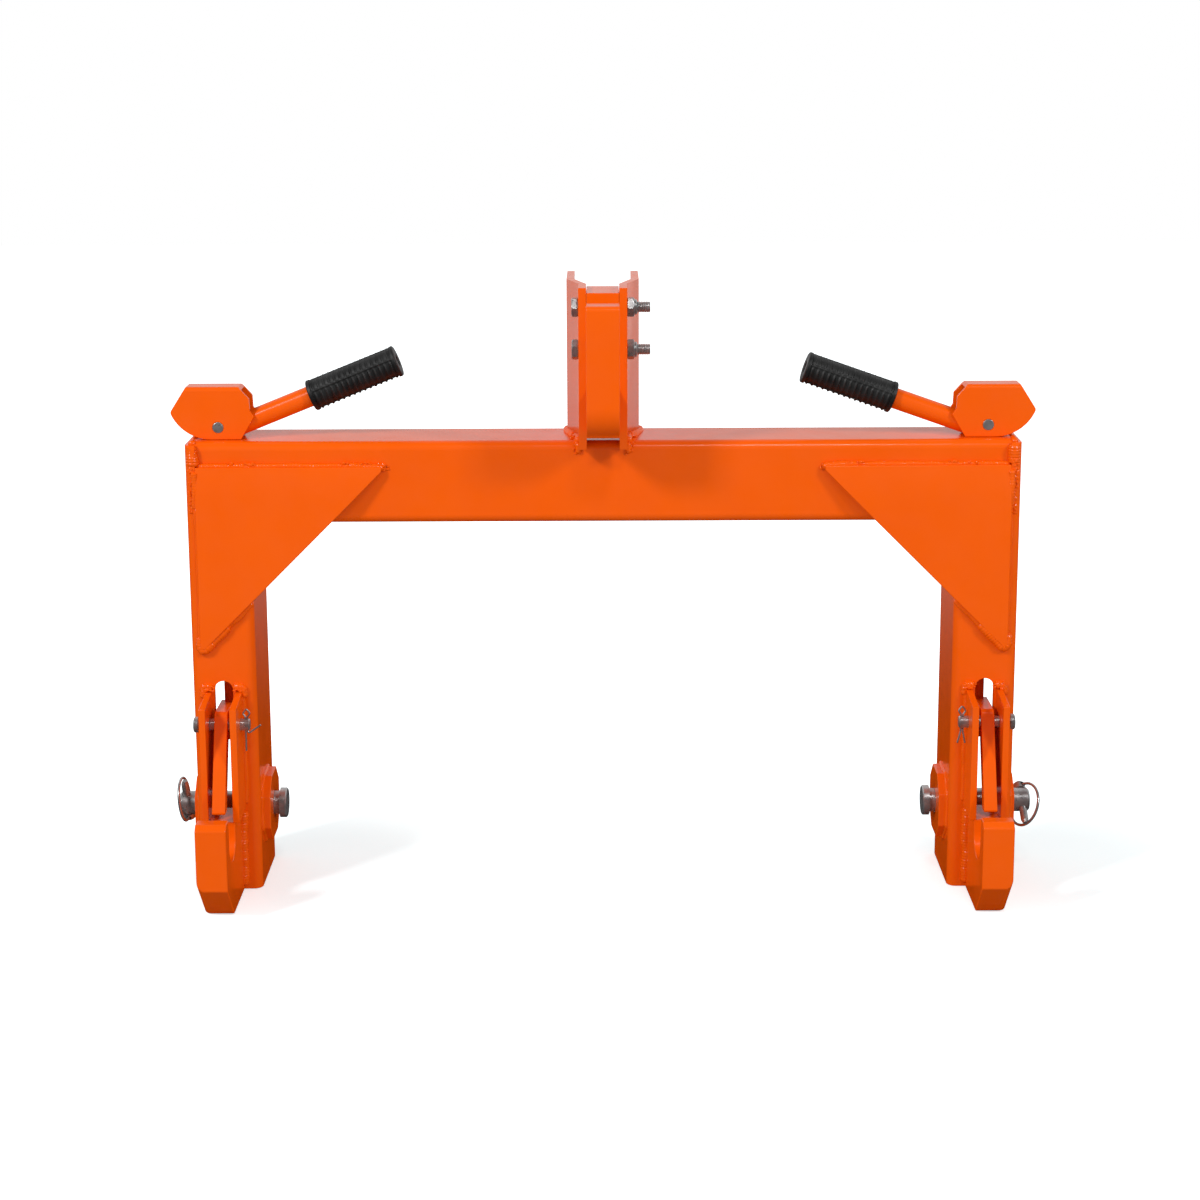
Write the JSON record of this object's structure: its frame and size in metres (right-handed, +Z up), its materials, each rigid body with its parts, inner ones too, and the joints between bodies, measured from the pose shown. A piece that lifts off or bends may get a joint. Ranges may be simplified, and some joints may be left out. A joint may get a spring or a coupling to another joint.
{
  "type": "three point quick hitch",
  "caption": "Arch-shaped tractor quick hitch: square crossbeam, channel legs with latching lower hooks, cam handles and a bolted top hook between mast plates.",
  "frame": {"origin": "on the ground, midway between the two lower hooks and midway between the lower hook tips and the mast rear edge", "axes": "+X to the right seen from the implement, -Y towards the implement and the hooks, +Y towards the tractor, +Z up"},
  "size_m": [0.8087, 0.219, 0.563],
  "materials": {
    "orange_paint": "glossy orange powder coat",
    "zinc_steel": "bright zinc plating",
    "grip_rubber": "moulded black grip rubber"
  },
  "bodies": {
    "frame": {"cotter_left": "zinc_steel", "cotter_right": "zinc_steel", "crossbeam": "orange_paint", "gusset_left": "orange_paint", "gusset_right": "orange_paint", "latch_ear_inner_left": "orange_paint", "latch_ear_inner_right": "orange_paint", "latch_ear_outer_left": "orange_paint", "latch_ear_outer_right": "orange_paint", "latch_pin_left": "zinc_steel", "latch_pin_right": "zinc_steel", "leg_left": "orange_paint", "leg_right": "orange_paint", "lower_hook_left": "orange_paint", "lower_hook_right": "orange_paint", "mast_plate_left": "orange_paint", "mast_plate_right": "orange_paint", "pin_boss_inner_left": "orange_paint", "pin_boss_inner_right": "orange_paint", "pin_boss_outer_left": "orange_paint", "pin_boss_outer_right": "orange_paint", "top_hook": "orange_paint", "top_hook_bolts": "zinc_steel", "top_hook_nuts": "zinc_steel"},
    "rod_left": {"lift_rod_left": "orange_paint", "link_pin_left": "zinc_steel", "cam_pin_left": "zinc_steel"},
    "handle_left": {"cam_bracket_left": "orange_paint", "handle_tube_left": "orange_paint", "grip_left": "grip_rubber"},
    "latch_body_left": {"latch_left": "orange_paint"},
    "hitch_left": {"hitch_pin_left": "zinc_steel", "linch_pin_left": "zinc_steel"},
    "ring_left": {"linch_ring_left": "zinc_steel"},
    "rod_right": {"lift_rod_right": "orange_paint", "link_pin_right": "zinc_steel", "cam_pin_right": "zinc_steel"},
    "handle_right": {"cam_bracket_right": "orange_paint", "handle_tube_right": "orange_paint", "grip_right": "grip_rubber"},
    "latch_body_right": {"latch_right": "orange_paint"},
    "hitch_right": {"hitch_pin_right": "zinc_steel", "linch_pin_right": "zinc_steel"},
    "ring_right": {"linch_ring_right": "zinc_steel"}
  },
  "joints": [
    {"name": "handle_swing_left", "type": "hinge", "parent": "rod_left", "child": "handle_left", "pos_m": [-0.349, 0.0195, 0.4333], "axis": [0, -1, 0], "range_deg": [0, 100]},
    {"name": "rod_slide_left", "type": "slide", "parent": "frame", "child": "rod_left", "axis": [0, 0, 1], "range_m": [0, 0.0364]},
    {"name": "latch_swing_left", "type": "hinge", "parent": "frame", "child": "latch_body_left", "pos_m": [-0.349, -0.0295, 0.1645], "axis": [1, 0, 0], "range_deg": [0, 40.7]},
    {"name": "hitch_pin_spin_left", "type": "hinge", "parent": "frame", "child": "hitch_left", "pos_m": [-0.394, 0.0295, 0.0695], "axis": [1, 0, 0], "continuous": true},
    {"name": "linch_ring_swing_left", "type": "hinge", "parent": "hitch_left", "child": "ring_left", "pos_m": [-0.394, 0.03592, 0.05572], "axis": [0, -0.9063, -0.4226], "range_deg": [0, 150]},
    {"name": "handle_swing_right", "type": "hinge", "parent": "rod_right", "child": "handle_right", "pos_m": [0.349, 0.0195, 0.4333], "axis": [0, 1, 0], "range_deg": [0, 100]},
    {"name": "rod_slide_right", "type": "slide", "parent": "frame", "child": "rod_right", "axis": [0, 0, 1], "range_m": [0, 0.0364]},
    {"name": "latch_swing_right", "type": "hinge", "parent": "frame", "child": "latch_body_right", "pos_m": [0.349, -0.0295, 0.1645], "axis": [1, 0, 0], "range_deg": [0, 40.7]},
    {"name": "hitch_pin_spin_right", "type": "hinge", "parent": "frame", "child": "hitch_right", "pos_m": [0.394, 0.0295, 0.0695], "axis": [1, 0, 0], "continuous": true},
    {"name": "linch_ring_swing_right", "type": "hinge", "parent": "hitch_right", "child": "ring_right", "pos_m": [0.394, 0.04239, 0.07755], "axis": [0.515, -0.4542, 0.7269], "range_deg": [0, 150]}
  ],
  "couplings": [
    {"joint": "rod_slide_left", "follows": "handle_swing_left", "m_per_rad": 0.0208},
    {"joint": "latch_swing_left", "follows": "handle_swing_left", "ratio": 0.406},
    {"joint": "rod_slide_right", "follows": "handle_swing_right", "m_per_rad": 0.0208},
    {"joint": "latch_swing_right", "follows": "handle_swing_right", "ratio": 0.406}
  ]
}
